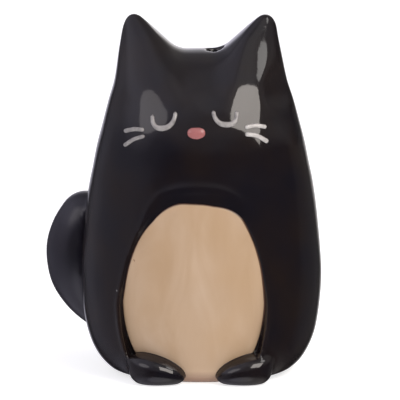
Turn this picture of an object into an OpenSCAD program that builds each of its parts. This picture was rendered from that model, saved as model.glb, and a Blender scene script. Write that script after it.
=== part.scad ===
// Glazed ceramic cat shaker: a hollow slip-cast figure with pour holes in the crown,
// a filler hole in the base and a soft stopper. Millimetres, Z up, the cat faces -Y.

/* [Figure] */
// Height of the crown between the ears
crown_h = 68; // [60:0.5:76]
// Widest width of the body
body_w = 50; // [46:0.5:56]
// Depth of the body from its axis to the front of the belly
front_d = 22; // [20:0.5:25]
// Depth of the body from its axis to the back
back_d = 20.5; // [19:0.5:24]
// Thickness of the cast wall
wall = 3.4; // [2.8:0.1:4]

/* [Ears] */
// Height of the ear tips above the base
ear_tip_h = 75; // [72:0.5:80]
// Distance between the two ear tips
ear_span = 28.4; // [26:0.2:31]
// Radius of an ear's rounded tip
ear_tip_r = 1.6; // [1.2:0.1:2.2]

/* [Pour holes] */
// Radius of a pour hole
pour_r = 1.7; // [1.2:0.1:2.2]
// Distance of each pour hole from the middle of the crown, left to right
pour_x = 3; // [2.5:0.1:5]
// Places of the front hole and the back hole, front to back
pour_y = [-0.8, 5]; // [-8:0.1:8]

/* [Base] */
// Radius of the filler hole
filler_r = 8.2; // [6.5:0.1:9]
// Radius of the hollow under the base that the stopper's flange sits in
foot_hollow_r = 11.2; // [10:0.1:12.5]
// Depth of the hollow under the base
foot_hollow_h = 2; // [1.5:0.1:2.5]
// Thickness of the base, from the floor to the chamber
base_t = 4.6; // [4:0.1:6]
// Height of the bare foot rim below the belly glaze
foot_rim_h = 0.4; // [0.3:0.1:1]
// Gap round the stopper's flange in that hollow
flange_gap = 0.5; // [0.3:0.1:1]
// Gap above the stopper's flange in that hollow
seat_gap = 0.1; // [0.05:0.05:0.3]

/* [Stopper] */
// Gap between the stopper's barrel and the filler hole
stopper_gap = 0.08; // [0.02:0.01:0.1]
// Thickness of the stopper's flange
flange_t = 1.3; // [1:0.1:1.6]
// Height of the stopper's barrel above its flange
barrel_h = 5.6; // [4:0.1:7]
// Thickness of the stopper's barrel and roof
barrel_t = 1.3; // [1:0.1:1.8]
// Width of the finger bar across the stopper's underside
bar_w = 2; // [1.5:0.1:3]

/* [Belly] */
// Half of the width of the belly
belly_w = 14.3; // [12:0.1:16]
// Height of the belly's widest level
belly_mid_h = 17.1; // [14:0.1:20]
// Height from the widest level to the top of the belly
belly_rise = 20.2; // [16:0.1:23]
// Share by which the belly narrows from its widest level to its top
belly_taper = 0.17; // [0:0.01:0.3]
// Place of the belly's middle at its widest level, left to right
belly_x = -1.5; // [-2:0.1:2]
// Distance that the belly leans to the right from its widest level to its top
belly_lean = 0.8; // [0:0.1:2]
// Depth of the recess that holds the belly
recess_d = 1.1; // [0.8:0.1:1.4]
// Thickness of the cream belly glaze
belly_t = 0.7; // [0.5:0.1:0.9]

/* [Paws] */
// Half of a paw's length, side to side
paw_l = 6; // [5:0.1:7]
// Half of a paw's depth, front to back
paw_d = 4.6; // [4:0.1:6]
// Height of a paw
paw_h = 6.8; // [5:0.1:8]
// Distance from the middle of the body to the middle of a paw
paw_x = 8.6; // [8:0.1:10.5]
// Distance from the body's axis forward to the middle of a paw
paw_y = 17.4; // [16:0.1:19]
// Angle by which a paw points inwards and slopes down to its toes
paw_turn = 12; // [0:1:20]

/* [Tail] */
// Distance from the body's axis to the outermost point of the tail
tail_reach = 32.6; // [30:0.1:34]
// Radius of the tail at its thickest
tail_r = 6.8; // [5:0.1:7.5]

/* [Face] */
// Place of the middle of the face, left to right
face_x = -1.1; // [-2:0.05:2]
// Height of the nose
nose_h = 51.5; // [49:0.1:54]
// Half of the width of the nose
nose_w = 1.85; // [1.5:0.05:2.3]
// Height of the middle of the eyes' ends above the nose
eye_rise = 4.1; // [3.5:0.1:5]
// Distance between the middles of the two eyes
eye_span = 12.4; // [11:0.1:14]
// Half of the width of a closed eye
eye_w = 2.35; // [1.8:0.05:2.6]
// Depth of a closed eye's curve
eye_d = 2.9; // [2:0.1:3.4]
// Width of an enamel stroke
stroke_w = 0.9; // [0.6:0.05:1.1]
// Height of an enamel stroke above the glaze
enamel_t = 0.4; // [0.3:0.05:0.6]

/* [Hidden] */

glaze_black = [0.10, 0.09, 0.11];
glaze_cream = [0.80, 0.68, 0.55];
enamel_white = [0.88, 0.87, 0.85];
enamel_pink = [0.85, 0.52, 0.53];
stopper_clear = [0.86, 0.85, 0.80];

eps = 0.01;
ring_points = 48;
turned_sides = 96;

// Levels up the body. Each is its share of the crown height, the shares of the half width,
// of the front depth and of the back depth there, and how square the front is.
LEVELS = [
    [0.000, 0.630, 0.80, 0.67, 2.2],
    [0.020, 0.765, 0.89, 0.79, 2.2],
    [0.068, 0.880, 0.95, 0.88, 2.2],
    [0.145, 0.958, 0.99, 0.96, 2.2],
    [0.290, 1.000, 1.00, 1.00, 2.2],
    [0.463, 0.970, 0.948, 0.97, 2.2],
    [0.587, 0.926, 0.901, 0.90, 2.3],
    [0.710, 0.855, 0.850, 0.81, 2.35],
    [0.772, 0.812, 0.805, 0.76, 2.4],
    [0.834, 0.766, 0.722, 0.71, 2.45],
    [0.900, 0.722, 0.590, 0.64, 2.5]
];
shoulder = LEVELS[len(LEVELS) - 1][0];
crown_w = 0.3;
dome = [for (a = [15:15:90]) a];
SHARES = [
    0, 0.008, 0.02, 0.04, 0.068, 0.105, 0.145, 0.19, 0.24, 0.29, 0.35, 0.41,
    0.463, 0.525, 0.587, 0.65, 0.71, 0.772, 0.834, shoulder
];

function last(v) = v[len(v) - 1];
function level_at(s, i = 0) = i >= len(LEVELS) - 2 || s <= LEVELS[i + 1][0] ? i : level_at(s, i + 1);
function slope(i, c) =
    let (a = LEVELS[max(i - 1, 0)], b = LEVELS[min(i + 1, len(LEVELS) - 1)])
    (b[c] - a[c]) / (b[0] - a[0]);

// A smooth curve through column c of the levels, at share s of the crown height
function curve(s, c) =
    let (
        i = level_at(s),
        h = LEVELS[i + 1][0] - LEVELS[i][0],
        t = (s - LEVELS[i][0]) / h
    )
    (2 * t ^ 3 - 3 * t ^ 2 + 1) * LEVELS[i][c] + (t ^ 3 - 2 * t ^ 2 + t) * h * slope(i, c)
    + (3 * t ^ 2 - 2 * t ^ 3) * LEVELS[i + 1][c] + (t ^ 3 - t ^ 2) * h * slope(i + 1, c);

function bend(v, n) = sign(v) * abs(v) ^ (2 / n);

// One level ring: half width w, front depth f, back depth b, squareness n, at height z
function ring(z, w, f, b, n) = [
    for (k = [0:ring_points - 1])
        let (a = 360 * k / ring_points)
        [w * bend(cos(a), n), (sin(a) < 0 ? f : b) * bend(sin(a), n), z]
];

// The rings of the body, grown by g at its sides and crown
function body_rings(g) = concat(
    [
        for (s = SHARES)
            ring(
                crown_h * s,
                body_w / 2 * curve(s, 1) + g,
                front_d * curve(s, 2) + g,
                back_d * curve(s, 3) + g,
                curve(s, 4)
            )
    ],
    [
        for (a = dome)
            let (top = last(LEVELS), k = max(cos(a), 0.04))
            ring(
                crown_h * (shoulder + (1 - shoulder) * sin(a)) + g * sin(a),
                body_w / 2 * (crown_w + (top[1] - crown_w) * k) + g,
                (front_d * top[2] + g) * k,
                (back_d * top[3] + g) * k,
                top[4]
            )
    ]
);

// A closed skin over rings that all have the same number of points
module loft(rings) {
    n = len(rings[0]);
    m = len(rings);
    points = [for (r = rings) each r];
    sides = [
        for (j = [0:m - 2], k = [0:n - 1])
            let (next = (k + 1) % n)
            [j * n + k, (j + 1) * n + k, (j + 1) * n + next, j * n + next]
    ];
    first_cap = [for (k = [0:n - 1]) k];
    last_cap = [for (k = [n - 1:-1:0]) (m - 1) * n + k];
    polyhedron(points, concat([first_cap], sides, [last_cap]), convexity = 6);
}

// Melts what it holds into one closed skin, at its own size
module skin() resize([0, 0, 0]) children();

module body_form(g = 0) loft(body_rings(g));

// One ear: a slanted pyramid rounded at its edges, from its tip, its inner foot and its root.
// Side is -1 or 1.
ear_sides = 32;
ear_foot = [8.4, crown_h - 1.6, 3];
ear_root = [11.4, crown_h - 11];
ear_root_size = [7, 12, 4];
module ear_form(side) {
    hull() {
        translate([side * ear_span / 2, 0, ear_tip_h - ear_tip_r]) sphere(ear_tip_r, $fn = ear_sides);
        translate([side * ear_foot[0], 0, ear_foot[1]]) sphere(ear_foot[2], $fn = ear_sides);
        translate([side * ear_root[0], 0, ear_root[1]]) scale(ear_root_size) sphere(1, $fn = ear_sides);
    }
}

// The belly's outline in the front view: an oval below its widest level, and above it a
// squared oval that narrows and leans a little
belly_below = belly_mid_h + 1.5;
belly_square = [2, 2.8];
module belly_outline() {
    translate([belly_x, belly_mid_h])
        polygon([
            for (a = [0:6:354])
                let (
                    n = sin(a) > 0 ? belly_square[1] : belly_square[0],
                    up = max(bend(sin(a), n), 0),
                    w = belly_w * (1 - belly_taper * up)
                )
                [
                    belly_lean * up + w * bend(cos(a), n),
                    (sin(a) > 0 ? belly_rise : belly_below) * bend(sin(a), n)
                ]
        ]);
}

// A front-view outline carried through the front half of the body
module through_front(h = 60) rotate([90, 0, 0]) linear_extrude(h) children();

// The space from the bottom of the belly's recess up to the body grown by g
module belly_layer(g) {
    intersection() {
        front_layer(-recess_d, g) belly_outline();
        translate([-body_w, -body_w, foot_rim_h]) cube([2 * body_w, body_w, crown_h]);
    }
}

// The space between the body grown by low and by high, in front of an outline
module front_layer(low, high) {
    intersection() {
        through_front() children();
        difference() {
            body_form(high);
            body_form(low);
        }
    }
}

module casting_form() {
    difference() {
        union() {
            body_form();
            ear_form(-1);
            ear_form(1);
        }
        belly_layer(1);
        intersection() {
            body_form(-wall);
            translate([-body_w, -body_w, base_t]) cube([2 * body_w, 2 * body_w, crown_h]);
        }
        translate([0, 0, -1]) cylinder(h = base_t + 2, r = filler_r - 1, $fn = 24);
    }
}

module body_shell() {
    color(glaze_black) difference() {
        skin() casting_form();
        for (k = [0, 1])
            translate([(1 - 2 * k) * pour_x, pour_y[k], crown_h - 3 * wall])
                cylinder(h = 5 * wall, r = pour_r, $fn = 48);
        translate([0, 0, -1]) cylinder(h = foot_hollow_h + 1, r = foot_hollow_r, $fn = turned_sides);
        cylinder(h = base_t + 1, r = filler_r, $fn = turned_sides);
    }
}

module belly_panel() {
    color(glaze_cream) skin() belly_layer(belly_t - recess_d);
}

// A paw: an ovoid that points inwards and slopes down to its toes. Side is -1 or 1.
// Its middle sits a little below half of its height, so the floor cuts it flat.
paw_middle = 0.45;
module paw(side) {
    color(glaze_black) skin() difference() {
        intersection() {
            translate([side * paw_x, -paw_y, paw_h * paw_middle])
                rotate([0, side * -paw_turn, side * paw_turn])
                    scale([paw_l, paw_d, paw_h / 2]) sphere(1, $fn = 40);
            translate([-body_w, -body_w, 0]) cube([2 * body_w, body_w, crown_h]);
        }
        body_form();
    }
}
module left_paw() paw(-1);
module right_paw() paw(1);

tail_x = tail_reach - tail_r;

// The tail's middle line runs from its root in the back round to its tip at the left flank,
// with the share of the full radius at each point
TAIL = [
    [6, back_d - 8, 10, 0.60],
    [-3, back_d - 2.5, 9, 0.80],
    [-11, back_d - 2, 9.5, 0.96],
    [-18.8, back_d - 5.3, 12.2, 0.985],
    [1.6 - tail_x, 11.5, 17.8, 0.97],
    [-tail_x, 9.5, 23.3, 1.00],
    [0.8 - tail_x, 9, 27.8, 0.88],
    [1.8 - tail_x, 9, 31.4, 0.80],
    [2.2 - tail_x, 9, 34, 0.69],
    [2.4 - tail_x, 9, 35.9, 0.40],
    [2.4 - tail_x, 9, 36.5, 0.10]
];
tail_steps = 3;

function blend(p, q, r, s, t) =
    0.5 * (2 * q + (r - p) * t + (2 * p - 5 * q + 4 * r - s) * t ^ 2 + (3 * q - p - 3 * r + s) * t ^ 3);
function tail_at(u) =
    let (n = len(TAIL) - 1, i = min(floor(u), n - 1))
    blend(TAIL[max(i - 1, 0)], TAIL[i], TAIL[i + 1], TAIL[min(i + 2, n)], u - i);
function unit(v) = v / norm(v);
function place(v) = [v[0], v[1], v[2]];
function tail_ring(u) =
    let (
        p = tail_at(u),
        way = unit(place(tail_at(min(u + 0.1, len(TAIL) - 1)) - tail_at(max(u - 0.1, 0)))),
        side = unit(cross(way, [0.3, 1, 0])),
        up = cross(way, side)
    )
    [for (k = [0:23]) place(p) + tail_r * p[3] * (side * cos(15 * k) + up * sin(15 * k))];

module tail() {
    color(glaze_black) skin() difference() {
        loft([for (k = [0:tail_steps * (len(TAIL) - 1)]) tail_ring(k / tail_steps)]);
        body_form();
    }
}

// The face's place straight in front of x at height z, raised off the glaze by h
function on_face(p, h) =
    let (
        s = p[1] / crown_h,
        n = curve(s, 4),
        across = abs(p[0]) / (body_w / 2 * curve(s, 1))
    )
    [p[0], -front_d * curve(s, 2) * (1 - across ^ n) ^ (1 / n) - h, p[1]];

// An enamel stroke along a line of front-view points: flat below, round above, with round ends
END_SHARES = [0.4, 0.85];
stroke_sides = 8;
module stroke(line) {
    n = len(line);
    loft([
        for (i = [0:n - 1])
            let (
                way = unit(line[min(i + 1, n - 1)] - line[max(i - 1, 0)]),
                across = [-way[1], way[0]],
                from_end = min(i, n - 1 - i),
                share = from_end < len(END_SHARES) ? END_SHARES[from_end] : 1
            )
            [
                for (k = [0:stroke_sides])
                    let (a = 180 * k / stroke_sides)
                    on_face(line[i] + stroke_w / 2 * share * cos(a) * across, enamel_t * share * sin(a))
            ]
    ]);
}

// Side is -1 or 1. The right eye is painted a little higher than the left.
eye_tilt = 0.3;
eye_shift = -0.1;
module eye(side) {
    middle = [face_x + eye_shift + side * eye_span / 2, nose_h + eye_rise + side * eye_tilt];
    color(enamel_white) stroke([for (a = [180:12:360]) middle + [eye_w * cos(a), eye_d * sin(a)]]);
}
module left_eye() eye(-1);
module right_eye() eye(1);

nose_squash = 0.64;
nose_shift = 0.2;
nose_swell = 1.3;
nose_square = [2, 2.6];
module nose() {
    middle = [face_x + nose_shift, nose_h];
    color(enamel_pink) loft([
        for (lift = [0:18:90])
            [
                for (a = [0:12:348])
                    let (share = max(cos(lift), 0.05), wide = nose_square[sin(a) > 0 ? 1 : 0])
                    on_face(
                        middle + nose_w * share * [bend(cos(a), wide), nose_squash * bend(sin(a), wide)],
                        enamel_t * nose_swell * sin(lift)
                    )
            ]
    ]);
}

// A whisker from one end to the other, bowed up by rise in the middle
module whisker(from, to, rise) {
    color(enamel_white) stroke([
        for (t = [0:0.1:1.001]) (1 - t) * from + t * to + [0, 4 * t * (1 - t) * rise]
    ]);
}
module left_upper_whisker() whisker([-15.4, 51.5], [-11.5, 52.0], 0.3);
module left_lower_whisker() whisker([-15.4, 48.6], [-11.4, 50.8], 0.3);
module right_upper_whisker() whisker([9.2, 52.6], [13.4, 52.4], 0.3);
module right_lower_whisker() whisker([9.3, 51.3], [13.7, 49.5], 0.4);

module base_stopper() {
    barrel_r = filler_r - stopper_gap;
    flange_z = foot_hollow_h - flange_t - seat_gap;
    dish_r = barrel_r - barrel_t;
    dish_h = flange_t + barrel_h - barrel_t;
    bar_l = 2 * dish_r + barrel_t;
    color(stopper_clear) translate([0, 0, flange_z]) {
        difference() {
            union() {
                cylinder(h = flange_t, r = foot_hollow_r - flange_gap, $fn = turned_sides);
                cylinder(h = flange_t + barrel_h, r = barrel_r, $fn = turned_sides);
            }
            translate([0, 0, -eps]) cylinder(h = dish_h + eps, r = dish_r, $fn = turned_sides);
        }
        intersection() {
            translate([-bar_w / 2, -bar_l / 2, 0]) cube([bar_w, bar_l, dish_h + barrel_t / 2]);
            cylinder(h = flange_t + barrel_h, r = bar_l / 2, $fn = turned_sides);
        }
    }
}

body_shell();
tail();
left_paw();
right_paw();
belly_panel();
left_eye();
right_eye();
nose();
left_upper_whisker();
left_lower_whisker();
right_upper_whisker();
right_lower_whisker();
base_stopper();
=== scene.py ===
"""Looks of the glazed ceramic cat shaker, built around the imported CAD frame.

The cast form is a field: a function that is negative inside the clay and positive outside, in
millimetres. Each piece is meshed from it, or laid on it, and turned into metres at the end.
The cat faces -Y. Left and right are the viewer's.
"""

import math

import bmesh
import bpy
import numpy as np
import openvdb
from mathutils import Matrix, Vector


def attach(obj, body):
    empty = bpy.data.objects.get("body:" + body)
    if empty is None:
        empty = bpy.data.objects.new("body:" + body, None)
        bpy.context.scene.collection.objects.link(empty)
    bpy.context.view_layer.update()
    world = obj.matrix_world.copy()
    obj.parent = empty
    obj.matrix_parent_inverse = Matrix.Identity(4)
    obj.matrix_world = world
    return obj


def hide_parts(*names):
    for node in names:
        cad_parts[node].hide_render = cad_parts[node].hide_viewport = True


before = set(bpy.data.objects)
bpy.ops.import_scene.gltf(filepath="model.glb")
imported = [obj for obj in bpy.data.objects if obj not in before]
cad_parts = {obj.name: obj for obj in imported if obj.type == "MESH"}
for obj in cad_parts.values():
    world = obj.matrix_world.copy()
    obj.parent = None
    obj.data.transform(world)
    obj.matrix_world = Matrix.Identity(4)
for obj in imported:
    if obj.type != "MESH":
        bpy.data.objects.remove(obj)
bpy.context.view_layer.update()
MM = 0.001

# ---------------------------------------------------------------- sizes, in millimetres

CROWN_H = 68.0
BODY_W = 50.0
FRONT_D = 22.0
BACK_D = 20.5
WALL = 3.4
BASE_T = 4.6

# Levels up the body: share of the crown height, then the shares of the half width, the front
# depth and the back depth there, and how square the section is.
LEVELS = np.array([
    [0.000, 0.630, 0.80, 0.67, 2.2],
    [0.020, 0.765, 0.89, 0.79, 2.2],
    [0.068, 0.880, 0.95, 0.88, 2.2],
    [0.145, 0.958, 0.99, 0.96, 2.2],
    [0.290, 1.000, 1.00, 1.00, 2.2],
    [0.463, 0.970, 0.948, 0.97, 2.2],
    [0.587, 0.926, 0.901, 0.90, 2.3],
    [0.647, 0.893, 0.877, 0.86, 2.3],
    [0.710, 0.855, 0.850, 0.81, 2.35],
    [0.772, 0.812, 0.800, 0.76, 2.4],
    [0.834, 0.766, 0.712, 0.71, 2.5],
    [0.900, 0.712, 0.585, 0.62, 2.7],
    [1.000, 0.662, 0.350, 0.48, 2.6],
    [1.100, 0.618, 0.110, 0.30, 2.6],
])

# The body leans a little: how far right it sits below and above the heights of NECK.
BODY_SHIFT = 0.13
HEAD_SHIFT = -0.20
NECK = (54, 70)

# The flat pressed into the right cheek and ear. The last three are depths and the heights
# between which they come in: a hollow under the ear, and the rise and the fade below it.
FACET_POINT = (13.75, -8.2, 66.0)
FACET_NORMAL = (0.85, -0.50, 0.364)
FACET_HOLLOW = (2.0, 68, 57)
FACET_RISE = (-1.7, 62, 50)
FACET_FADE = (-4.5, 54, 41)
# How rounded the facet's crease is at the ear, and how much rounder it is down the cheek.
CREASE_ROUND = 0.6
CREASE_SOFTER = (2.2, 59, 50)

CROWN_TOP = 67.2
ROOF_Y = 0.5
ROOF_FRONT_R = 14.0
ROOF_BACK_R = 17.0
CROWN_TO_EARS = 1.6
TRUNK_DOME = 34.0
# A point, as (x, height), on the sloping inner side of each ear, and the sideways and upward
# shares of that side's normal.
EAR_INNER = ((-7.55, 69.7), (7.1, 69.7))
EAR_SLOPE = (0.672, 0.741)
EAR_BACK_POINT = (0, -0.6, 76.4)
EAR_BACK_NORMAL = (0, 0.80, 0.60)
EAR_TIP_ROUND = 2.4
# How rounded the edge between sides and roof is, and how much rounder at the left ear. At the
# right ear, which begins between these places across, it is sharper, and its tip less so.
EDGE_ROUND = 2.6
LEFT_EAR_ROUNDER = (0.8, -5, -9)
RIGHT_EAR = (6, 10)
RIGHT_EAR_SHARPER = 1.2
RIGHT_TIP = (69, 73)
TRUNK_ROUND = 3.0
FOOT_ROUND = 1.6
HAND_WOBBLE = 0.05

POUR_R = 1.7
POUR_HOLES = ((3.0, -0.8), (-3.0, 5.0))
POUR_RIM_ROUND = 0.7
CHAMBER_ROUND = 1.2
FILLER_R = 8.2
# How far the filler hole runs on into the chamber.
FILLER_PAST = 1.0
FOOT_HOLLOW_R = 11.2
FOOT_HOLLOW_H = 2.0
BASE_RIM_ROUND = 0.35
BORE_ROUND = 0.2

STOPPER_GAP = 0.08
FLANGE_GAP = 0.5
SEAT_GAP = 0.1
FLANGE_T = 1.3
BARREL_H = 5.6
BARREL_T = 1.3
BAR_W = 2.0
BAR_INSET = 0.25
# How far the finger bar runs on into the barrel's wall and roof.
BAR_EMBED = 0.3

BELLY_X = -1.5
BELLY_LEAN = 0.8
BELLY_W = 14.35
BELLY_TAPER = 0.17
BELLY_MID_H = 17.1
BELLY_RISE = 20.3
BELLY_DROP = 18.6
BELLY_SQUARE = (2.0, 2.8)
BELLY_THICK = 0.32
BELLY_BACK = 0.5
BELLY_FOOT = 0.45
BELLY_EDGE_R = 0.5
RECESS_TOP = 0.8
RECESS_DEEPER = (1.3, 24, 5)
# How far the recess runs past the cream, and on past the belly's foot.
RECESS_MARGIN = 0.25
RECESS_PAST_FOOT = 5
# The lip between the body and the recess: its width, and how much wider it is over the belly.
LIP_W = 0.6
LIP_WIDER = (1.9, 31.5, 39.5)
LIP_INSET = 0.3
LIP_ROUND = (0.3, 0.22)
# The ridge the recess pushes up round itself, and how much higher it is between the haunches.
RIDGE = 0.17
RIDGE_HIGHER = (0.33, 26, 12)
RIDGE_OUT = 0.3
RIDGE_W = 0.35
RIDGE_TO_LIP = 0.22
# The relief is on the front only, and fades out between these places front to back.
FRONT_FADE = (-3, -9)
# The hand-cut edge of the belly: how far it runs from the smooth outline at some angles round it.
BELLY_CUT = [
    (0, 1.015), (35, 1.01), (50, 1.025), (80, 1.0), (100, 1.015), (130, 0.985),
    (170, 1.015), (225, 1.01), (245, 1.0), (305, 1.0), (325, 1.035),
]

ENAMEL_H = 0.34
# How soon a stroke is at its full thickness, in from its sides.
ENAMEL_FULLNESS = 1.6
EYE_WIDTHS = [0.82, 0.9, 1.02, 1.14, 1.02, 0.9, 0.82]
EYE_COVER = 0.29
EYE_SQUARE = 2.45
# Each closed eye hangs between two points like a U: the middle and the height of its top, half
# its width, its depth, how much higher its right arm is, and how far its foot leans right.
EYES = {
    "left_eye": (-7.4, 55.4, 2.33, 2.95, 0.7, -0.2),
    "right_eye": (4.87, 55.9, 2.36, 2.73, -0.1, 0.4),
}
# Each whisker bends over three points, as (x, height), and has a width and a cover of enamel. The
# left whiskers' lower cover paints shade on them: the same enamel is shown darker on the viewer's
# left.
WHISKERS = {
    "left_upper_whisker": ([(-15.6, 51.4), (-13.4, 52.0), (-11.4, 51.95)], 0.86, 0.26),
    "left_lower_whisker": ([(-15.6, 48.5), (-13.6, 49.95), (-11.3, 50.8)], 0.78, 0.26),
    "right_upper_whisker": ([(8.85, 52.5), (11.1, 52.85), (13.35, 52.4)], 0.85, 0.62),
    "right_lower_whisker": ([(8.95, 51.25), (11.3, 50.85), (13.7, 49.45)], 0.9, 0.62),
}
NOSE_MIDDLE = (-0.87, 51.5)
NOSE_HALF = (1.82, 1.14)
NOSE_H = 0.5
# How square the nose is above and below.
NOSE_SQUARE = (2.6, 2.0)

# The tail's middle line from its root in the back round to its tip at the left flank, as
# (x, y, height), and its radius at each point.
TAIL_LINE = np.array([
    [6.0, 12.5, 10.0, 4.0],
    [-3.0, 18.0, 9.0, 5.3],
    [-11.0, 18.5, 9.5, 6.3],
    [-19.2, 15.2, 12.1, 6.75],
    [-24.5, 11.5, 17.7, 6.65],
    [-25.8, 9.5, 23.3, 6.7],
    [-25.2, 9.0, 27.8, 6.2],
    [-24.0, 9.0, 31.0, 5.4],
])
TAIL_UNDERSIDE = 2.9

# Each paw is an ovoid over a rounder sole: middle, radii and, for the ovoid, its slope in
# degrees. Both turn inwards, by PAW_TURN.
PAW_X = 9.0
PAW_MIDDLE = (PAW_X, -17.4, 3.2)
PAW_RADII = (6.1, 4.2, 2.85)
PAW_SLOPE = 17
SOLE_MIDDLE = (10.0, -16.8, 2.2)
SOLE_RADII = (4.4, 4.1, 2.7)
PAW_TURN = 10
PAW_TO_SOLE = 1.6
PAW_LIFT = 0.02

# The fillets of glaze round the pieces luted on, how many times its size a fillet runs out
# from the piece, and how deep the pieces sit in the body.
TAIL_FILLET = 1.2
PAW_FILLET = 0.9
FILLET_REACH = 1.4
EMBED = 0.5

# The boxes that the fields are meshed in, the paws' one about the paw's middle, and the voxels.
BODY_SPACE = ((-26.5, -23.5, -1.0), (26.5, 22.5, 77.0))
TAIL_SPACE = ((-33.5, 4.0, 1.5), (8.0, 26.5, 38.5))
PAW_SPACE = ((-8.5, -25.5, -0.6), (8.5, -11.0, 9.5))
VOXEL = 0.5
FINE_VOXEL = 0.3

# ---------------------------------------------------------------- field arithmetic


def smooth_min(a, b, k):
    """The lower of two fields, with their crossing rounded over a distance of about k."""
    h = np.clip(0.5 + 0.5 * (b - a) / k, 0, 1)
    return b + (a - b) * h - k * h * (1 - h)


def smooth_max(a, b, k):
    """The higher of two fields, rounded likewise."""
    return -smooth_min(-a, -b, k)


def smooth_step(low, high, v):
    """0 where v is at low, 1 where it is at high, and smooth between them."""
    t = np.clip((v - low) / (high - low), 0, 1)
    return t * t * (3 - 2 * t)


def eased(amount, start, end, v):
    """An amount that comes in smoothly as v goes from start to end."""
    return amount * smooth_step(start, end, v)


def bend(v, power):
    """A sine or cosine turned into that of a squarer oval."""
    return np.sign(v) * np.abs(v) ** (2 / power)


def level_values(share):
    """The level columns at shares of the crown height, along smooth cubic curves."""
    at = LEVELS[:, 0]
    i = np.clip(np.searchsorted(at, share) - 1, 0, len(at) - 2)
    before, after = np.maximum(i - 1, 0), np.minimum(i + 2, len(at) - 1)
    h = at[i + 1] - at[i]
    t = np.clip((share - at[i]) / h, 0, 1)
    found = []
    for column in LEVELS.T[1:]:
        rise_a = (column[i + 1] - column[before]) / (at[i + 1] - at[before])
        rise_b = (column[after] - column[i]) / (at[after] - at[i])
        found.append(
            (2 * t**3 - 3 * t**2 + 1) * column[i]
            + (t**3 - 2 * t**2 + t) * h * rise_a
            + (3 * t**2 - 2 * t**3) * column[i + 1]
            + (t**3 - t**2) * h * rise_b
        )
    return found


def plane(p, point, normal):
    """The signed distance in front of a plane."""
    n = np.array(normal, float)
    return (p - np.array(point)) @ (n / np.linalg.norm(n))


def ellipsoid(p, centre, radii, turn=0.0, tilt=0.0):
    """An ovoid turned about Z and then tilted about Y, both in degrees."""
    q = p - np.array(centre)
    a, b = math.radians(turn), math.radians(tilt)
    x, y, z = q[:, 0], q[:, 1], q[:, 2]
    x, y = x * math.cos(a) + y * math.sin(a), y * math.cos(a) - x * math.sin(a)
    x, z = x * math.cos(b) - z * math.sin(b), z * math.cos(b) + x * math.sin(b)
    r = np.array(radii, float)
    near = np.sqrt((x / r[0]) ** 2 + (y / r[1]) ** 2 + (z / r[2]) ** 2)
    steep = np.sqrt((x / r[0] ** 2) ** 2 + (y / r[1] ** 2) ** 2 + (z / r[2] ** 2) ** 2)
    return near * (near - 1) / np.maximum(steep, 1e-6)


# ---------------------------------------------------------------- the cast form


def hand_wobble(p):
    """The slight unevenness of a hand-fettled casting, a few hundredths of a millimetre."""
    x, y, z = p.T
    return HAND_WOBBLE * (
        np.sin(0.41 * x + 0.23 * z + 1.3) * np.sin(0.31 * z - 0.27 * y + 0.4)
        + 0.6 * np.sin(0.72 * x - 0.35 * y + 2.1) * np.sin(0.55 * z + 0.6)
    )


def side_wall(p):
    """The body's sides, carried on upwards past the crown into the ears."""
    x, y, z = p.T
    x = x - BODY_SHIFT + eased(BODY_SHIFT - HEAD_SHIFT, *NECK, z)
    wide, front, back, square = level_values(z / CROWN_H)
    half_w = BODY_W / 2 * wide
    depth = np.where(y < 0, FRONT_D * front, BACK_D * back)
    r = ((np.abs(x) / half_w) ** square + (np.abs(y) / depth) ** square) ** (1 / square)
    out = np.hypot(x, y)
    side = np.where(r > 1e-6, out * (1 - 1 / np.maximum(r, 1e-6)), -half_w)
    facet = plane(p, FACET_POINT, FACET_NORMAL)
    for depth_there in (FACET_HOLLOW, FACET_RISE, FACET_FADE):
        facet = facet + eased(*depth_there, z)
    return smooth_max(side, facet, CREASE_ROUND + eased(*CREASE_SOFTER, z))


def ear_cap(p, side):
    """The distance over the sloping inner side of one ear. Side is 0 or 1, left or right."""
    x, z = EAR_INNER[side]
    way = (1, -1)[side]
    return plane(p, (x, 0, z), (way * EAR_SLOPE[0], 0, EAR_SLOPE[1]))


def roof(p):
    """Everything that bounds the head from above: domed to the front, flatter to the back."""
    x, y, z = p.T
    radius = np.where(y < ROOF_Y, ROOF_FRONT_R, ROOF_BACK_R)
    domed = z + (y - ROOF_Y) ** 2 / (2 * radius)
    q = np.stack([x, y, domed], 1)
    ears = np.where(x < 0, ear_cap(q, 0), ear_cap(q, 1))
    ears = smooth_max(ears, plane(p, EAR_BACK_POINT, EAR_BACK_NORMAL), EAR_TIP_ROUND)
    return smooth_min(domed - CROWN_TOP, ears, CROWN_TO_EARS)


def trunk(p):
    """Body and head under one low dome, without the ears."""
    domed = p[:, 2] + p[:, 1] ** 2 / TRUNK_DOME
    return smooth_max(side_wall(p), domed - CROWN_TOP, TRUNK_ROUND)


def cast_form(p):
    """The outer form of the casting, before the belly is sunk into it."""
    x, y, z = p.T
    sharper = smooth_step(*RIGHT_EAR, x) * (RIGHT_EAR_SHARPER - smooth_step(*RIGHT_TIP, z))
    edge = EDGE_ROUND + eased(*LEFT_EAR_ROUNDER, x) - sharper
    return smooth_max(side_wall(p), roof(p), edge) + hand_wobble(p)


def belly_sides(z):
    """The middle and the half width of the belly at a height, in the front view."""
    up = np.clip((z - BELLY_MID_H) / BELLY_RISE, 0, 1)
    return BELLY_X + BELLY_LEAN * up, BELLY_W * (1 - BELLY_TAPER * up)


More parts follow.
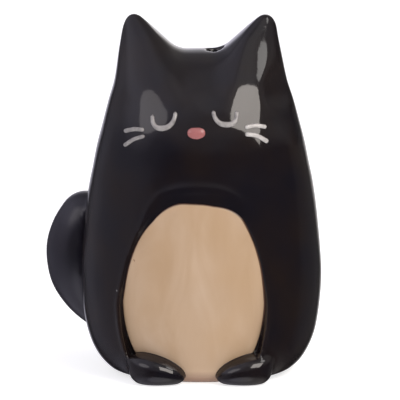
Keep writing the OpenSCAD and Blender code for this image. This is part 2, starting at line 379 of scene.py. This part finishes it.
def oval_distance(x, z, grow):
    """A rough distance in the front view from the belly's outline, negative inside it."""
    middle, half_w = belly_sides(z)
    above = z > BELLY_MID_H
    n = np.where(above, BELLY_SQUARE[1], BELLY_SQUARE[0])
    u = np.abs((x - middle) / (half_w + grow))
    half_h = np.where(above, BELLY_RISE, BELLY_DROP + RECESS_PAST_FOOT)
    w = np.abs((z - BELLY_MID_H) / (half_h + grow))
    r = (u**n + w**n) ** (1 / n)
    out = np.hypot(x - middle, z - BELLY_MID_H)
    return out * (1 - 1 / np.maximum(r, 1e-6))


def recess_depth(z):
    """The belly sits deeper between the haunches than at the chest."""
    return RECESS_TOP + eased(*RECESS_DEEPER, z)


def belly_relief(p):
    """How far the front sinks for the belly, with a soft lip that swells a little round it."""
    x, y, z = p.T
    d = oval_distance(x, z, RECESS_MARGIN)
    lip = LIP_W + eased(*LIP_WIDER, z)
    ramp = smooth_min(1 - (d + LIP_INSET) / (lip + LIP_INSET), 1, LIP_ROUND[0])
    sunk = recess_depth(z) * smooth_max(ramp, 0, LIP_ROUND[1])
    from_ridge = (d - lip - RIDGE_OUT) / (RIDGE_TO_LIP * lip + RIDGE_W)
    swell = np.exp(-(from_ridge**2)) * (RIDGE + eased(*RIDGE_HIGHER, z))
    return (sunk - swell) * smooth_step(*FRONT_FADE, y)


def pour_holes(p):
    """The space of the pour holes, straight down through the crown."""
    holes = [np.hypot(p[:, 0] - x, p[:, 1] - y) - POUR_R for x, y in POUR_HOLES]
    in_the_chamber = CROWN_H - 3 * WALL
    return smooth_max(np.minimum(*holes), in_the_chamber - p[:, 2], 0.3)


def chamber(p):
    """The hollow that holds the salt: the trunk, a wall's thickness in."""
    return smooth_max(trunk(p) + WALL, BASE_T - p[:, 2], CHAMBER_ROUND)


def base_hollows(p):
    """The filler hole and the hollow round it for the stopper's flange."""
    out = np.hypot(p[:, 0], p[:, 1])
    filler = smooth_max(out - FILLER_R, p[:, 2] - BASE_T - FILLER_PAST, BORE_ROUND)
    hollow = smooth_max(out - FOOT_HOLLOW_R, p[:, 2] - FOOT_HOLLOW_H, BORE_ROUND)
    return np.minimum(filler, hollow)


def body_clay(p):
    """The whole glazed casting, hollow, with its holes."""
    skin = outer_skin(p)
    hollow = smooth_min(chamber(p), pour_holes(p), 0.8)
    solid = smooth_max(skin, -hollow, POUR_RIM_ROUND)
    return smooth_max(solid, -base_hollows(p), BASE_RIM_ROUND)


def outer_skin(p):
    """The glazed outside of the body, which everything else sits on."""
    return smooth_max(cast_form(p) + belly_relief(p), -p[:, 2], FOOT_ROUND)


def tail_bead(p):
    """A round tube of changing thickness along the tail's middle line, cut level below."""
    line = smooth_line(TAIL_LINE, 5)
    best = np.full(len(p), 1e9)
    for a, b in zip(line[:-1], line[1:]):
        along = b[:3] - a[:3]
        t = np.clip((p - a[:3]) @ along / (along @ along), 0, 1)
        gap = np.linalg.norm(p - a[:3] - t[:, None] * along, axis=1)
        best = smooth_min(best, gap - a[3] - t * (b[3] - a[3]), 0.4)
    return np.maximum(best + hand_wobble(p), TAIL_UNDERSIDE - p[:, 2])


def smooth_line(points, steps):
    """A Catmull-Rom curve through rows of numbers."""
    n = len(points)
    found = []
    for i in range(n - 1):
        a, b, c, d = (points[min(max(i + k, 0), n - 1)] for k in (-1, 0, 1, 2))
        for t in np.arange(steps) / steps:
            found.append(0.5 * (
                2 * b + (c - a) * t + (2 * a - 5 * b + 4 * c - d) * t**2
                + (3 * b - a - 3 * c + d) * t**3
            ))
    return np.array(found + [points[-1]])


def paw_bead(p, side):
    """An ovoid paw that slopes down to its toes, in towards the middle. Side is -1 or 1."""
    mirror = (side, 1, 1)
    turn = side * PAW_TURN
    paw = ellipsoid(p, np.multiply(PAW_MIDDLE, mirror), PAW_RADII, turn, side * -PAW_SLOPE)
    sole = ellipsoid(p, np.multiply(SOLE_MIDDLE, mirror), SOLE_RADII, turn)
    return smooth_max(smooth_min(paw, sole, PAW_TO_SOLE), PAW_LIFT - p[:, 2], 0.4)


def luted_on(p, bead, fillet):
    """A bead luted to the body: the glaze fills the joint round it with a small fillet."""
    skin = outer_skin(p)
    joined = smooth_min(skin, bead, fillet)
    reach = bead - FILLET_REACH * fillet
    return smooth_max(np.maximum(joined, reach), -(skin + EMBED), 0.1)


# ---------------------------------------------------------------- meshing


def slope(field, p, step=0.02):
    """How fast the field rises along each axis."""
    parts = []
    for axis in np.eye(3) * step:
        parts.append((field(p + axis) - field(p - axis)) / (2 * step))
    return np.stack(parts, 1)


def settle(field, p, rounds=3, most=0.4):
    """Moves points onto the field's surface along its slope."""
    for _ in range(rounds):
        g = slope(field, p)
        move = -field(p)[:, None] * g / np.maximum((g * g).sum(1), 0.05)[:, None]
        size = np.linalg.norm(move, axis=1, keepdims=True)
        p = p + move * np.minimum(1, most / np.maximum(size, 1e-9))
    return p


def field_mesh(name, field, low, high, voxel):
    """A closed quad mesh of a field's surface inside a box, in metres."""
    axes = [np.arange(a, b + voxel, voxel) for a, b in zip(low, high)]
    values = np.empty([len(a) for a in axes], np.float32)
    for i, x in enumerate(axes[0]):
        y, z = np.meshgrid(axes[1], axes[2], indexing="ij")
        sheet = np.stack([np.full(y.size, x), y.ravel(), z.ravel()], 1)
        values[i] = field(sheet).reshape(y.shape)
    grid = openvdb.FloatGrid(10.0)
    grid.copyFromArray(values)
    points, quads = grid.convertToQuads(0.0)
    points = np.array(low) + np.asarray(points, float) * voxel
    points = settle(field, points)
    return new_object(name, points, quads)


def new_object(name, points, faces):
    """A smooth-shaded object from points in millimetres."""
    mesh = bpy.data.meshes.new(name)
    mesh.from_pydata((np.asarray(points) * MM).tolist(), [], np.asarray(faces).tolist())
    mesh.validate()
    mesh.update()
    mesh.polygons.foreach_set("use_smooth", [True] * len(mesh.polygons))
    piece = bpy.data.objects.new(name, mesh)
    bpy.context.scene.collection.objects.link(piece)
    return piece


def face_outwards(piece):
    """Turns every face of a closed piece outwards."""
    edit = bmesh.new()
    edit.from_mesh(piece.data)
    bmesh.ops.recalc_face_normals(edit, faces=edit.faces)
    edit.to_mesh(piece.data)
    edit.free()


def front_of(field, x, z):
    """The y of the field's front surface straight ahead of each x and z."""
    far, near = np.full(len(x), -30.0), np.full(len(x), -1.0)
    for _ in range(30):
        mid = (far + near) / 2
        outside = field(np.stack([x, mid, z], 1)) > 0
        far, near = np.where(outside, mid, far), np.where(outside, near, mid)
    return (far + near) / 2


def raised(field, x, z, lift):
    """Points over the front surface at x and z, raised square to it by lift."""
    p = np.stack([x, front_of(field, x, z), z], 1)
    g = slope(field, p, 0.1)
    g /= np.linalg.norm(g, axis=1, keepdims=True)
    return p + g * lift[:, None]


def ring_faces(rings, count):
    """Quads between closed rings of count points each, laid out one after another."""
    faces = []
    for j in range(rings - 1):
        for k in range(count):
            n = (k + 1) % count
            faces.append([j * count + k, j * count + n, (j + 1) * count + n, (j + 1) * count + k])
    return faces


def lofted(name, rings):
    """A closed skin over rings of points, capped at both ends, with even normals."""
    rings = np.asarray(rings)
    m, n = rings.shape[:2]
    faces = ring_faces(m, n)
    points = rings.reshape(-1, 3)
    caps = [[*range(n)][::-1], [(m - 1) * n + k for k in range(n)]]
    piece = new_object(name, points, np.array(faces))
    edit = bmesh.new()
    edit.from_mesh(piece.data)
    verts = list(edit.verts)
    for cap in caps:
        middle = edit.verts.new(sum((verts[i].co for i in cap), Vector()) / n)
        for k in range(n):
            edit.faces.new([verts[cap[k]], verts[cap[(k + 1) % n]], middle])
    for face in edit.faces:
        face.smooth = True
    bmesh.ops.recalc_face_normals(edit, faces=edit.faces)
    edit.to_mesh(piece.data)
    edit.free()
    return piece


def paint(piece, name, values):
    """Keeps a number on every point of a mesh, for its material."""
    attribute = piece.data.attributes.new(name, "FLOAT", "POINT")
    attribute.data.foreach_set("value", np.asarray(values, np.float32))


# ---------------------------------------------------------------- materials


class Nodes:
    """A short way to build a node material."""

    def __init__(self, name):
        self.material = bpy.data.materials.new(name)
        self.material.use_nodes = True
        self.tree = self.material.node_tree
        self.shader = self.tree.nodes["Principled BSDF"]

    def add(self, kind, inputs=None, **settings):
        node = self.tree.nodes.new(kind)
        for key, value in settings.items():
            setattr(node, key, value)
        for key, value in (inputs or {}).items():
            self.feed(value, node.inputs[key])
        return node

    def feed(self, value, socket):
        if isinstance(value, bpy.types.NodeSocket):
            self.tree.links.new(value, socket)
        else:
            socket.default_value = value

    def place(self, scale):
        """Object coordinates, stretched."""
        coordinates = self.add("ShaderNodeTexCoord").outputs["Object"]
        return self.add("ShaderNodeMapping", {"Vector": coordinates, "Scale": scale}).outputs[0]

    def noise(self, scale, detail=3.0, stretch=(1, 1, 1), distortion=0.0):
        return self.add("ShaderNodeTexNoise", {
            "Vector": self.place(stretch),
            "Scale": scale,
            "Detail": detail,
            "Distortion": distortion,
        }).outputs["Fac"]

    def spread(self, value, low, high, to_low=0.0, to_high=1.0):
        return self.add("ShaderNodeMapRange", {
            "Value": value,
            "From Min": low,
            "From Max": high,
            "To Min": to_low,
            "To Max": to_high,
        }).outputs[0]

    def mix(self, amount, a, b):
        node = self.add("ShaderNodeMix", data_type="RGBA")
        self.feed(amount, node.inputs["Factor"])
        self.feed(a, node.inputs["A"])
        self.feed(b, node.inputs["B"])
        return node.outputs["Result"]

    def maths(self, operation, a, b=0.0):
        node = self.add("ShaderNodeMath", operation=operation)
        self.feed(a, node.inputs[0])
        self.feed(b, node.inputs[1])
        return node.outputs[0]

    def bump(self, height, strength, distance):
        return self.add("ShaderNodeBump", {
            "Height": height,
            "Strength": strength,
            "Distance": distance,
        }).outputs[0]

    def attribute(self, name):
        return self.add("ShaderNodeAttribute", attribute_name=name).outputs["Fac"]

    def set(self, **sockets):
        for key, value in sockets.items():
            self.feed(value, self.shader.inputs[key.replace("_", " ")])


def rgb(r, g, b):
    return (r, g, b, 1.0)


def black_glaze():
    """Glossy black glaze, warm where it pools thin, over off-white clay that shows at the foot."""
    n = Nodes("black_glaze")
    pool = n.spread(n.noise(95, 3), 0.35, 0.7)
    colour = n.mix(pool, rgb(0.0075, 0.0065, 0.0095), rgb(0.0125, 0.0085, 0.0080))
    # Lighter brown on sharp convex edges: partly the glaze running thin there, partly a painted
    # highlight along the ear crease, lips and other edges.
    edge = n.spread(n.add("ShaderNodeNewGeometry").outputs["Pointiness"], 0.53, 0.62)
    colour = n.mix(n.maths("MULTIPLY", edge, 0.5), colour, rgb(0.030, 0.017, 0.013))
    speck = n.add("ShaderNodeTexVoronoi", {"Vector": n.place((1, 1, 1)), "Scale": 190.0})
    chosen = n.maths("GREATER_THAN", n.noise(150, 0), 0.69)
    dots = n.maths("MULTIPLY", n.maths("LESS_THAN", speck.outputs["Distance"], 0.045), chosen)
    colour = n.mix(dots, colour, rgb(0.20, 0.19, 0.19))
    # On the tail the colour is lifted towards a bluish grey as a painted sheen that stands in for
    # reflected light; the same mask also makes the glaze rougher.
    dull_and_sheen = n.attribute("dull_and_sheen")
    colour = n.mix(dull_and_sheen, colour, rgb(0.030, 0.028, 0.044))
    bare = n.attribute("bare")
    clay = n.mix(n.spread(n.noise(900, 4), 0.3, 0.7), rgb(0.50, 0.46, 0.40), rgb(0.66, 0.62, 0.56))
    colour = n.mix(bare, colour, clay)
    smears = n.spread(n.noise(60, 4, (1, 1, 0.5)), 0.3, 0.75, 0.05, 0.11)
    smears = n.maths("ADD", smears, n.maths("MULTIPLY", dull_and_sheen, 0.5))
    rough = n.add("ShaderNodeMix", {"Factor": bare, "A": smears, "B": 0.85}).outputs["Result"]
    height = n.maths("ADD", n.noise(110, 2), n.maths("MULTIPLY", n.noise(700, 2), 0.06))
    n.set(
        Base_Color=colour,
        Roughness=rough,
        IOR=1.52,
        Normal=n.bump(height, 0.35, 0.00045),
    )
    return n.material


def cream_glaze():
    """Brushed cream glaze: pale upright streaks on tan, and a thin dark line round its edge."""
    n = Nodes("cream_glaze")
    streaks = n.noise(150, 5, (1.0, 1.0, 0.3), 0.8)
    clouds = n.noise(70, 3, (1, 1, 0.6))
    colour = n.mix(n.spread(streaks, 0.3, 0.7), rgb(0.445, 0.308, 0.192), rgb(0.525, 0.388, 0.272))
    colour = n.mix(n.spread(clouds, 0.45, 0.75), colour, rgb(0.465, 0.318, 0.192))
    speck = n.add("ShaderNodeTexVoronoi", {"Vector": n.place((1, 1, 1)), "Scale": 260.0})
    chosen = n.maths("GREATER_THAN", n.noise(170, 0), 0.66)
    dots = n.maths("MULTIPLY", n.maths("LESS_THAN", speck.outputs["Distance"], 0.08), chosen)
    colour = n.mix(n.maths("MULTIPLY", dots, 0.7), colour, rgb(0.20, 0.10, 0.06))
    edge = n.maths("ADD", n.attribute("edge"), n.maths("MULTIPLY", n.noise(400, 2), 0.10))
    colour = n.mix(n.spread(edge, 0.42, 0.16), colour, rgb(0.075, 0.038, 0.026))
    # Darker towards the foot: partly the glaze darker and thinner there, partly painted shade on the
    # rounded bottom edge.
    foot = n.spread(n.attribute("height"), 3.0, 1.2)
    colour = n.mix(n.maths("MULTIPLY", foot, 0.8), colour, rgb(0.22, 0.125, 0.085))
    n.set(
        Base_Color=colour,
        Roughness=n.spread(n.noise(80, 3), 0.3, 0.7, 0.14, 0.24),
        IOR=1.5,
        Normal=n.bump(n.noise(260, 3, (1, 1, 0.6)), 0.25, 0.0002),
    )
    return n.material


def enamel(name, full, thin):
    """Raised enamel, which thins and shows the black at its ends."""
    n = Nodes(name)
    cover = n.maths("ADD", n.attribute("thick"), n.spread(n.noise(900, 3), 0.3, 0.7, -0.12, 0.12))
    colour = n.mix(n.spread(cover, 0.15, 0.75), thin, full)
    n.set(
        Base_Color=colour,
        Roughness=n.spread(n.noise(500, 2), 0.3, 0.7, 0.16, 0.3),
        IOR=1.5,
        Normal=n.bump(n.noise(1100, 3), 0.25, 0.00012),
    )
    return n.material


def soft_plastic():
    """Cloudy soft plastic with a fine matt grain."""
    n = Nodes("stopper_plastic")
    colour = n.mix(n.spread(n.noise(300, 3), 0.3, 0.7), rgb(0.66, 0.65, 0.60), rgb(0.76, 0.75, 0.70))
    n.set(
        Base_Color=colour,
        Roughness=n.spread(n.noise(600, 3), 0.3, 0.7, 0.38, 0.52),
        Subsurface_Weight=0.25,
        Subsurface_Radius=(0.004, 0.004, 0.003),
        Normal=n.bump(n.noise(2600, 2), 0.2, 0.0001),
    )
    return n.material


def floor_paint():
    """Plain pale matt floor."""
    n = Nodes("floor")
    n.set(Base_Color=rgb(0.80, 0.80, 0.805), Roughness=0.9, Specular_IOR_Level=0.1)
    n.set(Emission_Color=rgb(1, 1, 1), Emission_Strength=0.72)
    return n.material


# ---------------------------------------------------------------- the pieces


def wear(piece, material, slot, body, *nodes):
    """Gives a finished piece its material and its body, and hides the CAD nodes that it stands for.
    """
    piece.data.materials.append(material)
    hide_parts(*nodes)
    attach(piece, body)


def points_of(piece):
    """A piece's points in millimetres."""
    flat = np.empty(len(piece.data.vertices) * 3)
    piece.data.vertices.foreach_get("co", flat)
    return flat.reshape(-1, 3) / MM


def bare_clay(p):
    """1 where there is no glaze: the wiped foot, the hollows under the base and the chamber."""
    foot = smooth_step(0.16, 0.04, p[:, 2] + 0.05 * np.sin(2.1 * p[:, 0]) * np.sin(1.7 * p[:, 1]))
    under = smooth_step(0.15, -0.05, base_hollows(p))
    inside = smooth_step(0.2, -0.3, chamber(p)) * smooth_step(64, 62, p[:, 2])
    return np.maximum(np.maximum(foot, under), inside)


def make_body(glaze):
    piece = field_mesh("body_casting", body_clay, *BODY_SPACE, VOXEL)
    face_outwards(piece)
    paint(piece, "bare", bare_clay(points_of(piece)))
    wear(piece, glaze, "black_glaze", "cat", "body_shell")


def make_tail(glaze):
    def field(p):
        return luted_on(p, tail_bead(p), TAIL_FILLET)

    piece = field_mesh("tail_glazed", field, *TAIL_SPACE, VOXEL)
    face_outwards(piece)
    x, y, z = points_of(piece).T
    # A painted sheen on the tail, whose glaze the same mask also makes rougher.
    paint(piece, "dull_and_sheen", 0.45 + 0.05 * np.sin(0.2 * (x + z)) * np.sin(0.15 * y))
    wear(piece, glaze, "black_glaze", "cat", "tail")


def make_paw(glaze, side, name):
    def field(p):
        return luted_on(p, paw_bead(p, side), PAW_FILLET)

    low, high = np.array(PAW_SPACE) + (side * PAW_X, 0, 0)
    piece = field_mesh(name + "_glazed", field, low, high, FINE_VOXEL)
    face_outwards(piece)
    wear(piece, glaze, "black_glaze", "cat", name)


def belly_edge(around):
    """How far the belly's hand-cut edge lies from its middle, at angles in degrees."""
    a = np.radians(around)
    above = np.sin(a) > 0
    square = np.where(above, BELLY_SQUARE[1], BELLY_SQUARE[0])
    z = np.where(above, BELLY_RISE, BELLY_DROP) * bend(np.sin(a), square)
    middle, half_w = belly_sides(BELLY_MID_H + z)
    x = middle - BELLY_X + half_w * bend(np.cos(a), square)
    uneven = 0.008 * np.sin(3 * a + 0.5) + 0.005 * np.sin(7 * a + 1.1)
    uneven = uneven + np.interp(around, *zip(*BELLY_CUT), period=360)
    return x, z, uneven


def make_belly(glaze):
    """The cream layer: a thin sheet over the recess, with rounded edges."""
    shares = [*np.linspace(0.02, 0.90, 40), 0.93, 0.955, 0.975, 0.988, 0.996, 1.0]
    edge_x, edge_z, uneven = belly_edge(np.arange(0, 360, 1.5))
    rings, edges, heights = [], [], []
    for share in shares:
        x = BELLY_X + edge_x * share * uneven
        z = np.maximum(BELLY_MID_H + edge_z * share * uneven, BELLY_FOOT)
        off = (1 - share) * np.hypot(edge_x, edge_z)
        round_off = (1 - off / BELLY_EDGE_R).clip(0, 1)
        rings.append(raised(outer_skin, x, z, BELLY_THICK * np.sqrt(1 - round_off**2)))
        edges.append(off)
        heights.append(z)
    back = [r + (0, BELLY_BACK, 0) for r in rings[::-1]]
    piece = lofted("belly_glazed", rings + back)
    at_the_caps = ([0.0, 9.0], [20.0, 20.0])
    paint(piece, "edge", np.concatenate([*edges, *edges[::-1], at_the_caps[0]]))
    paint(piece, "height", np.concatenate([*heights, *heights[::-1], at_the_caps[1]]))
    wear(piece, glaze, "cream_glaze", "cat", "belly_panel")


def stroke(name, line, widths, lift, cover):
    """A raised stroke of enamel along front-view points, round above and flat below.

    Cover is how much of the black the enamel hides along its middle.
    """
    n = len(line)
    way = np.gradient(line, axis=0)
    way /= np.linalg.norm(way, axis=1, keepdims=True)
    run = np.concatenate([[0], np.cumsum(np.linalg.norm(np.diff(line, axis=0), axis=1))])
    from_end = np.minimum(run, run[-1] - run)
    half = np.interp(np.linspace(0, 1, n), np.linspace(0, 1, len(widths)), widths) / 2
    share = np.sqrt(np.clip(1 - (1 - from_end / half).clip(0, 1) ** 2, 0.02, 1))
    past_the_sides = 30
    section = np.radians(np.linspace(-past_the_sides, 180 + past_the_sides, 17))
    rings = []
    for i in range(n):
        across = np.array([-way[i, 1], way[i, 0]])
        flat = line[i] + np.outer(half[i] * share[i] * np.cos(section), across)
        high = lift * share[i] * np.sin(section)
        rings.append(raised(outer_skin, flat[:, 0], flat[:, 1], high))
    piece = lofted(name, rings)
    along, over = np.repeat(share, len(section)), np.tile(np.sin(section), n)
    thick = along * np.clip(ENAMEL_FULLNESS * over, 0, 1)
    at_the_caps = [0.0, 0.0]
    paint(piece, "thick", np.concatenate([thick, at_the_caps]) * cover)
    return piece


def eye_line(x, top, half_w, depth, rise, lean):
    """The lower half of a squarish oval, tilted and leaning."""
    a = np.radians(np.linspace(180, 360, 37))
    across, down = bend(np.cos(a), EYE_SQUARE), bend(-np.sin(a), EYE_SQUARE)
    return np.stack([x + half_w * across + lean * down, top + rise / 2 * across - depth * down], 1)


def make_eyes(white):
    for name, shape in EYES.items():
        piece = stroke(name + "_enamel", eye_line(*shape), EYE_WIDTHS, ENAMEL_H, EYE_COVER)
        wear(piece, white, "white_enamel", "cat", name)


def make_whiskers(white):
    for name, (points, width, cover) in WHISKERS.items():
        line = smooth_line(np.array(points), 8)
        piece = stroke(name + "_enamel", line, [width, width], ENAMEL_H, cover)
        wear(piece, white, "white_enamel", "cat", name)


def make_nose(pink):
    """A flat drop of pink enamel, wider above than below."""
    a = np.radians(np.arange(0, 360, 7.5))
    square = np.where(np.sin(a) > 0, *NOSE_SQUARE)
    x = NOSE_HALF[0] * bend(np.cos(a), square)
    z = NOSE_HALF[1] * bend(np.sin(a), square)
    rings, thick = [], []
    for turn in np.radians([-20, 0, 12, 24, 36, 48, 60, 72, 82, 88]):
        share = math.cos(turn) ** 0.75
        high = np.full(len(a), NOSE_H * math.sin(turn))
        ring_x, ring_z = NOSE_MIDDLE[0] + x * share, NOSE_MIDDLE[1] + z * share
        rings.append(raised(outer_skin, ring_x, ring_z, high))
        thick.append(np.full(len(a), 0.9 if turn > 0.3 else 0.5))
    piece = lofted("nose_enamel", rings)
    paint(piece, "thick", np.concatenate(thick + [[0.5, 1.0]]))
    wear(piece, pink, "pink_enamel", "cat", "nose")


def turned(name, outline, sides):
    """A solid turned on a lathe from an outline of (radius, height) points, ends on the axis."""
    a = np.radians(np.arange(sides) * 360 / sides)
    rings = [np.stack([r * np.cos(a), r * np.sin(a), np.full(sides, h)], 1) for r, h in outline]
    return lofted(name, rings)


def rounded_outline(corners, radius, steps=4):
    """An outline with its corners rounded. The first and last points stay."""
    corners = [np.array(c, float) for c in corners]
    found = [corners[0]]
    for before, at, after in zip(corners, corners[1:], corners[2:]):
        back, on = before - at, after - at
        cut = min(radius, np.linalg.norm(back) / 2.1, np.linalg.norm(on) / 2.1)
        a, b = at + back / np.linalg.norm(back) * cut, at + on / np.linalg.norm(on) * cut
        for t in np.linspace(0, 1, steps + 1):
            found.append((1 - t) ** 2 * a + 2 * t * (1 - t) * at + t**2 * b)
    return found + [corners[-1]]


def make_stopper(plastic):
    """The soft stopper: a flanged cup with a finger bar across its mouth."""
    flange_r = FOOT_HOLLOW_R - FLANGE_GAP
    barrel_r = FILLER_R - STOPPER_GAP
    dish_r = barrel_r - BARREL_T
    flange_top = FOOT_HOLLOW_H - SEAT_GAP
    low = flange_top - FLANGE_T
    top = flange_top + BARREL_H
    dish_top = top - BARREL_T
    axis = 0.05
    outline = [
        (axis, dish_top), (dish_r, dish_top), (dish_r, low), (flange_r, low),
        (flange_r, flange_top), (barrel_r, flange_top), (barrel_r, top), (axis, top),
    ]
    cup = turned("base_stopper_soft", rounded_outline(outline, 0.3), 128)
    long = dish_r + BAR_EMBED
    bar = finger_bar((-BAR_W / 2, -long, low + BAR_INSET), (BAR_W / 2, long, dish_top + BAR_EMBED))
    bar.data.materials.append(plastic)
    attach(bar, "stopper")
    wear(cup, plastic, "stopper", "stopper", "base_stopper")


def finger_bar(low, high):
    """A bar between two corners, with its long edges rounded."""
    edit = bmesh.new()
    corners = bmesh.ops.create_cube(edit, size=1.0)["verts"]
    middle = (np.array(low) + high) / 2
    size = np.array(high) - low
    for v in corners:
        v.co = Vector((np.array(v.co) * size + middle) * MM)
    long_edges = [e for e in edit.edges if abs(e.verts[0].co.y - e.verts[1].co.y) > BAR_W * MM]
    bmesh.ops.bevel(
        edit, geom=long_edges, offset=0.35 * MM, segments=4, affect="EDGES", profile=0.5
    )
    mesh = bpy.data.meshes.new("stopper_finger_bar")
    edit.to_mesh(mesh)
    edit.free()
    bar = bpy.data.objects.new("stopper_finger_bar", mesh)
    bpy.context.scene.collection.objects.link(bar)
    return bar


# ---------------------------------------------------------------- the studio


# In metres: the height that the lights look at, half the floor's width, and the width that
# the camera sees at the cat.
CAT_MIDDLE_H = 0.05
FLOOR_SIZE = 6.0
VIEW_W = 0.0832


def aim(thing, at):
    """Turns a camera or a light so that it looks at a point."""
    way = Vector(at) - thing.location
    thing.rotation_euler = way.to_track_quat("-Z", "Y").to_euler()


def softbox(name, azimuth, elevation, distance, size, power, tint, spin=0, shape="ELLIPSE"):
    """A soft light that looks at the middle of the cat. Azimuth 0 is in front of it."""
    light = bpy.data.lights.new(name, "AREA")
    light.shape = shape
    light.size, light.size_y = size
    light.energy = power
    light.color = tint
    lamp = bpy.data.objects.new(name, light)
    a, e = math.radians(azimuth), math.radians(elevation)
    lamp.location = (
        distance * math.sin(a) * math.cos(e),
        -distance * math.cos(a) * math.cos(e),
        CAT_MIDDLE_H + distance * math.sin(e),
    )
    bpy.context.scene.collection.objects.link(lamp)
    aim(lamp, (0, 0, CAT_MIDDLE_H))
    lamp.rotation_euler.rotate_axis("Z", math.radians(spin))


def make_studio():
    floor = bpy.data.meshes.new("studio_floor")
    edit = bmesh.new()
    bmesh.ops.create_grid(edit, x_segments=8, y_segments=8, size=FLOOR_SIZE)
    edit.to_mesh(floor)
    edit.free()
    ground = bpy.data.objects.new("studio_floor", floor)
    bpy.context.scene.collection.objects.link(ground)
    floor.materials.append(floor_paint())
    ground.visible_glossy = False

    pinkish, warm, neutral = (1.0, 0.94, 0.94), (1.0, 0.93, 0.87), (1.0, 0.97, 0.94)
    softbox("softbox_left", -45, 35, 0.9, (0.58, 0.41), 0.74, pinkish, spin=30)
    softbox("softbox_right", 43, 37, 0.8, (0.52, 0.42), 3.9, warm, spin=-32, shape="RECTANGLE")
    softbox("kicker", 80, 50, 0.8, (0.25, 0.25), 0.5, neutral)
    make_world()


def make_world():
    """Soft light from all round, as smooth bands along an axis and lobes about a direction.

    The camera itself sees plain white.
    """
    world = bpy.data.worlds.new("studio")
    bpy.context.scene.world = world
    world.use_nodes = True
    tree = world.node_tree

    def node(kind, **settings):
        made = tree.nodes.new(kind)
        for key, value in settings.items():
            setattr(made, key, value)
        return made

    def band(source, low, high, most):
        made = node("ShaderNodeMapRange", interpolation_type="SMOOTHSTEP")
        tree.links.new(source, made.inputs["Value"])
        for key, value in (("From Min", low), ("From Max", high), ("To Max", most)):
            made.inputs[key].default_value = value
        return made.outputs[0]

    way = node("ShaderNodeTexCoord").outputs["Generated"]
    axes = node("ShaderNodeSeparateXYZ")
    tree.links.new(way, axes.inputs[0])
    x, y, z = axes.outputs

    def lobe(centre, low, high, most):
        dot = node("ShaderNodeVectorMath", operation="DOT_PRODUCT")
        tree.links.new(way, dot.inputs[0])
        dot.inputs[1].default_value = Vector(centre).normalized()
        return band(dot.outputs["Value"], low, high, most)

    ceiling = band(z, 0.10, 0.50, 0.27)
    table = band(z, -0.50, -0.85, 0.45)
    backdrop = band(y, 0.88, 0.98, 0.65)
    left_wall = band(x, -0.35, -0.90, 0.26)
    low_back = lobe((0, 0.95, 0.30), 0.90, 0.98, 0.65)
    left_glow = lobe((-0.55, -0.25, 0.80), 0.70, 0.95, 0.33)
    forehead_glow = lobe((0.32, -0.44, 0.84), 0.93, 0.99, 0.36)
    table_front = lobe((0, -0.45, -0.89), 0.86, 0.97, 0.50)
    right_fill = lobe((0.79, 0.60, -0.08), 0.84, 0.96, 0.06)
    right_flag = lobe((0.67, 0.61, 0.42), 0.92, 0.99, -0.10)
    parts = (
        ceiling, table, backdrop, left_wall, low_back,
        left_glow, forehead_glow, table_front, right_fill, right_flag,
    )
    room_light = 0.022
    total = None
    for part in parts:
        add = node("ShaderNodeMath", operation="ADD")
        if total:
            tree.links.new(total, add.inputs[0])
        else:
            add.inputs[0].default_value = room_light
        tree.links.new(part, add.inputs[1])
        total = add.outputs[0]
    strength = node("ShaderNodeMix")
    tree.links.new(node("ShaderNodeLightPath").outputs["Is Camera Ray"], strength.inputs["Factor"])
    tree.links.new(total, strength.inputs["A"])
    strength.inputs["B"].default_value = 1.0
    tint = node("ShaderNodeMix", data_type="RGBA")
    tree.links.new(band(x, -0.4, 0.4, 1.0), tint.inputs["Factor"])
    tint.inputs["A"].default_value = (0.86, 0.84, 1.0, 1.0)
    tint.inputs["B"].default_value = (1.0, 0.96, 0.94, 1.0)
    background = tree.nodes["Background"]
    tree.links.new(tint.outputs["Result"], background.inputs["Color"])
    tree.links.new(strength.outputs[0], background.inputs["Strength"])


def make_camera():
    """A long lens, a little above the cat, straight in front of it."""
    distance, elevation = 0.66, math.radians(7.5)
    middle = Vector((-0.000125, 0, 0.0356))
    camera = bpy.data.cameras.new("camera")
    camera.sensor_width = 36
    camera.lens = camera.sensor_width * distance / VIEW_W
    camera.clip_start = 0.01
    view = bpy.data.objects.new("camera", camera)
    view.location = middle + Vector((0, -math.cos(elevation), math.sin(elevation))) * distance
    bpy.context.scene.collection.objects.link(view)
    aim(view, middle)
    bpy.context.scene.camera = view


make_camera()
make_studio()
black = black_glaze()
white = enamel("white_enamel", rgb(0.60, 0.575, 0.555), rgb(0.20, 0.19, 0.19))
pink = enamel("pink_enamel", rgb(0.36, 0.135, 0.132), rgb(0.40, 0.12, 0.12))
make_body(black)
make_tail(black)
make_paw(black, -1, "left_paw")
make_paw(black, 1, "right_paw")
make_belly(cream_glaze())
make_eyes(white)
make_nose(pink)
make_whiskers(white)
make_stopper(soft_plastic())

bpy.context.scene.view_settings.view_transform = "Standard"
